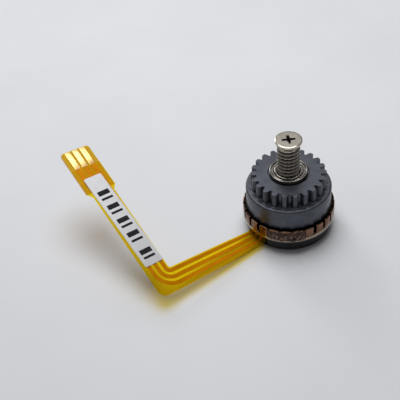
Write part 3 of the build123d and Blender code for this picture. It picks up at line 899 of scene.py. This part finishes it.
half_tail = TAIL_WIDTH / 2
tail_layer("tail_film", "flex_film", film.material, [(-half_tail, half_tail)],
           [tail_outline(ARM_LENGTH, True)], 0.0, FILM_T, 4.0)
tail_layer("tail_cover", "flex_coverlay", cover.material, [(-half_tail, half_tail)],
           [tail_outline(CONTACT_START, True)], FILM_T + TRACE_T, FILM_T + COVER_T, 4.43)
tail_layer("tail_traces", "flex_traces", copper.material,
           [(lane - TRACE_WIDTH / 2, lane + TRACE_WIDTH / 2) for lane in LANES],
           [trace_outline(place) for place in (-1, 0, 1)],
           FILM_T + SKIN_GAP, FILM_T + TRACE_T - SKIN_GAP, 4.0)


def plate(name, node, material, outlines, bottom, top, round_by=0.0):
    """Flat piece on the second arm, which stands for a CAD node if one is named."""
    bm = bmesh.new()
    for outline in outlines:
        slab(bm, outline, bottom, top)
    obj = finish_mesh(name, bm, "stator", material, 40)
    if node:
        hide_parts(node)
    if round_by:
        bevel(obj, round_by, 2, 60)
    return obj


def rounded_box(u0, u1, v0, v1, r):
    """Outline of a rectangle with rounded corners."""
    points = arc((u1 - r, v0 + r), r, -90, 0, 5) + arc((u1 - r, v1 - r), r, 0, 90, 5)
    points += arc((u0 + r, v1 - r), r, 90, 180, 5) + arc((u0 + r, v0 + r), r, 180, 270, 5)
    return points


half_finger = CONTACT_WIDTH / 2
fingers = [
    rounded_box(CONTACT_START, ARM_LENGTH - 0.1, y - half_finger, y + half_finger, 0.06)
    for y in (-CONTACT_PITCH, 0.0, CONTACT_PITCH)
]
plate(
    "contact_fingers", "flex_contacts", gold.material, fingers,
    FILM_T, FILM_T + FINGER_T, 0.010)

w = END_WIDTH / 2
back = [(STIFFENER_START, -w), *arc((ARM_LENGTH - END_R, -w + END_R), END_R, -90, 0, 6)]
back += [*arc((ARM_LENGTH - END_R, w - END_R), END_R, 0, 90, 6), (STIFFENER_START, w)]
plate(
    "end_stiffener", "flex_stiffener", stiffener.material, [back],
    -STIFFENER_T, -SKIN_GAP, 0.015)

LABEL_CENTRE = (8.85, -0.04)
LABEL_SIZE = (12.7, 2.30)
LABEL_SKEW = radians(1.2)


def on_label(outline):
    """Turn an outline drawn about the label's own centre to where the label is stuck."""
    c, s = cos(LABEL_SKEW), sin(LABEL_SKEW)
    return [(LABEL_CENTRE[0] + x * c - y * s, LABEL_CENTRE[1] + x * s + y * c) for x, y in outline]


half_l, half_w = LABEL_SIZE[0] / 2, LABEL_SIZE[1] / 2
label_z = FILM_T + COVER_T
label_outline = on_label(rounded_box(-half_l, half_l, -half_w, half_w, 0.20))
plate(
    "marking_label", "flex_label", paper.material, [label_outline],
    label_z, label_z + LABEL_T, 0.012)

# generic marking: pairs of one wide and one narrow plain bar, with no letters or figures
BAR_HEIGHT = 1.45
BAR_INK_LOW, BAR_INK_HIGH = 0.0605, 0.0625
BAR_PLAN = (
    (-5.35, 0.30), (-4.60, 0.62), (-2.95, 0.30), (-2.10, 0.62), (-0.90, 0.30),
    (-0.10, 0.62), (1.10, 0.30), (1.90, 0.62), (3.10, 0.30), (3.90, 0.62),
)
half_bar = BAR_HEIGHT / 2
bars = [
    on_label(rounded_box(x - wide / 2, x + wide / 2, -half_bar, half_bar, 0.05))
    for x, wide in BAR_PLAN
]
plate("label_bars", None, ink.material, bars, label_z + BAR_INK_LOW, label_z + BAR_INK_HIGH)


# ---------------------------------------------------------------- finishes of the pieces kept from the frame
for node, material in {
    "center_post": post_steel,
    "felt_damper": felt,
    "piezo_ring": piezo,
    "stator_nut": post_steel,
    "rotor_lining": lining,
    "damping_ring": rubber,
    "preload_spring": spring_wire,
    "bearing_balls": bearing_steel,
    "ball_cage": cage_brass,
}.items():
    slots = NODES[node].material_slots
    for index in range(len(slots)):
        slots[index].material = material.material


# ---------------------------------------------------------------- floor and light
floor_shader = mottled(
    "floor_pale", (0.70, 0.71, 0.735), (0.73, 0.74, 0.765), 0.05, 0.75, 0.85, 3.0, 0.002)
bpy.ops.mesh.primitive_plane_add(size=1.2, location=(0, 0.1, 0))
floor = bpy.context.object
floor.name = "floor"
floor.data.materials.append(floor_shader.material)


def area_light(name, place, size, power):
    """Round soft light that faces the motor."""
    data = bpy.data.lights.new(name, "AREA")
    data.shape = "DISK"
    data.size = size
    data.energy = power
    obj = bpy.data.objects.new(name, data)
    bpy.context.scene.collection.objects.link(obj)
    obj.location = place
    obj.rotation_mode = "QUATERNION"
    obj.rotation_quaternion = (-Vector(place)).to_track_quat("-Z", "Y")


area_light("overhead", (-0.015, 0.042, 0.17), 0.14, 0.245)
area_light("window", (-0.12, 0.20, 0.125), 0.09, 0.13)
area_light("back_wall", (0.0, 0.30, 0.29), 0.22, 0.055)

world = bpy.data.worlds.new("studio")
world.use_nodes = True
background = world.node_tree.nodes["Background"]
background.inputs["Color"].default_value = (0.86, 0.87, 0.90, 1.0)
background.inputs["Strength"].default_value = 0.16
bpy.context.scene.world = world
bpy.context.scene.view_settings.view_transform = "Standard"
